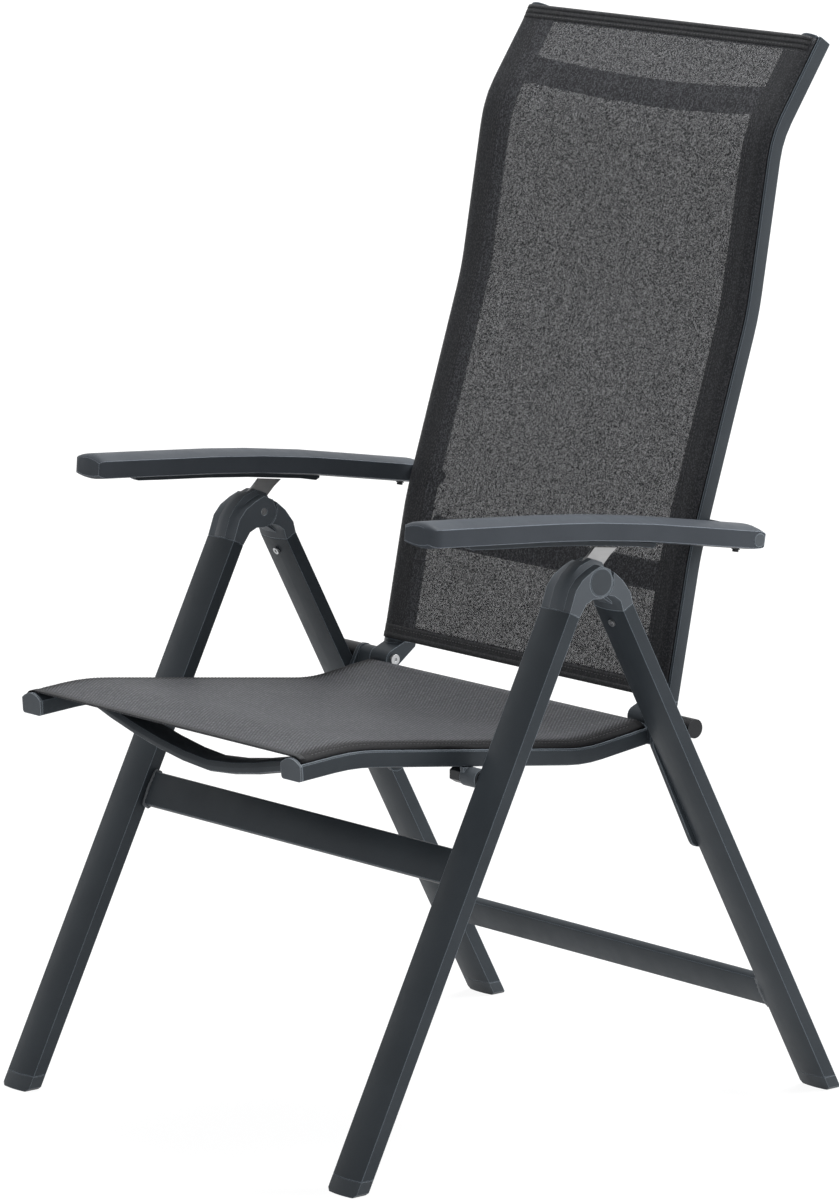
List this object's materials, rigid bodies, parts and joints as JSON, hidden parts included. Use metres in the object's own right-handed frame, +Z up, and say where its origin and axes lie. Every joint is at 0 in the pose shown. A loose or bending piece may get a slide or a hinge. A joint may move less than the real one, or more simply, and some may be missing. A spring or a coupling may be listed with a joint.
{
  "type": "folding sling patio chair",
  "caption": "High-backed folding patio armchair with stretched mesh slings, flat oval legs crossing at side knuckles, and armrests that hold the reclining back.",
  "frame": {"origin": "centre of the bounding box, on the ground", "axes": "+Z up, -Y the way the sitter faces, +X to the sitter's left"},
  "size_m": [0.582, 0.706, 1.0975],
  "materials": {
    "frame": "satin anthracite powder coat",
    "moulding": "fine-grained moulded plastic, slightly lighter than the frame",
    "black_plastic": "black moulded plastic",
    "black_steel": "blackened steel",
    "bare_steel": "plain zinc or stainless",
    "catch_steel": "brushed lengthwise",
    "seat_mesh": "close woven coated mesh, grey",
    "back_mesh": "open woven coated mesh, dark grey, half see-through"
  },
  "bodies": {
    "front_frame": {"front_leg_left": "frame", "front_leg_right": "frame", "front_foot_left": "moulding", "front_foot_right": "moulding", "front_knuckle_left": "moulding", "front_knuckle_right": "moulding", "knuckle_cap_left": "moulding", "knuckle_cap_right": "moulding", "knuckle_bolt_left": "bare_steel", "knuckle_bolt_right": "bare_steel", "catch_plate_left": "catch_steel", "catch_plate_right": "catch_steel", "seat_bolt_left": "black_steel", "seat_bolt_right": "black_steel", "front_crossbar": "frame"},
    "rear_frame": {"rear_leg_left": "frame", "rear_leg_right": "frame", "rear_foot_left": "moulding", "rear_foot_right": "moulding", "rear_knuckle_left": "moulding", "rear_knuckle_right": "moulding", "knuckle_screw_left": "bare_steel", "knuckle_screw_right": "bare_steel", "link_rivet_left": "bare_steel", "link_rivet_right": "bare_steel", "rear_crossbar": "frame"},
    "links": {"link_left": "frame", "link_right": "frame", "roller_left": "black_plastic", "roller_right": "black_plastic"},
    "seat": {"seat_rail_left": "frame", "seat_rail_right": "frame", "seat_rail_cap_left": "moulding", "seat_rail_cap_right": "moulding", "seat_rail_casting_left": "frame", "seat_rail_casting_right": "frame", "seat_bracket_left": "frame", "seat_bracket_right": "frame", "seat_front_tube": "frame", "seat_sling": "seat_mesh"},
    "hinge_bolts": {"hinge_bolt_left": "bare_steel", "hinge_bolt_right": "bare_steel"},
    "backrest": {"back_tube_left": "frame", "back_tube_right": "frame", "back_casting_left": "frame", "back_casting_right": "frame", "back_upper_tube": "frame", "back_lower_tube": "frame", "back_sling": "back_mesh"},
    "armrests": {"armrest_left": "frame", "armrest_right": "frame", "armrest_rack_left": "black_plastic", "armrest_rack_right": "black_plastic", "armrest_stud_left": "black_plastic", "armrest_stud_right": "black_plastic", "armrest_bush_left": "black_plastic", "armrest_bush_right": "black_plastic", "armrest_pin_left": "moulding", "armrest_pin_right": "moulding"}
  },
  "joints": [
    {"name": "fold", "type": "hinge", "parent": "front_frame", "child": "rear_frame", "pos_m": [0, -0.01594, 0.578], "axis": [-1, 0, 0], "range_deg": [0, 55]},
    {"name": "link_swing", "type": "hinge", "parent": "rear_frame", "child": "links", "pos_m": [0, 0.16177, 0.28594], "axis": [-1, 0, 0], "range_deg": [0, 136.81]},
    {"name": "seat_tilt", "type": "hinge", "parent": "front_frame", "child": "seat", "pos_m": [0, -0.13309, 0.386], "axis": [-1, 0, 0], "range_deg": [0, 96.01]},
    {"name": "back_fold", "type": "hinge", "parent": "seat", "child": "hinge_bolts", "pos_m": [0, 0.11743, 0.41005], "axis": [-1, 0, 0], "range_deg": [-96.26, 0]},
    {"name": "recline", "type": "hinge", "parent": "hinge_bolts", "child": "backrest", "pos_m": [0, 0.11743, 0.41005], "axis": [-1, 0, 0], "range_deg": [0, 40]},
    {"name": "armrest_fold", "type": "hinge", "parent": "backrest", "child": "armrests", "pos_m": [0, 0.19856, 0.596], "axis": [-1, 0, 0], "range_deg": [0, 126.51]}
  ],
  "couplings": [
    {"joint": "link_swing", "follows": "fold", "ratio": 2.4873},
    {"joint": "seat_tilt", "follows": "fold", "ratio": 1.7455},
    {"joint": "back_fold", "follows": "fold", "ratio": -1.75},
    {"joint": "armrest_fold", "follows": "fold", "ratio": 2.3}
  ]
}
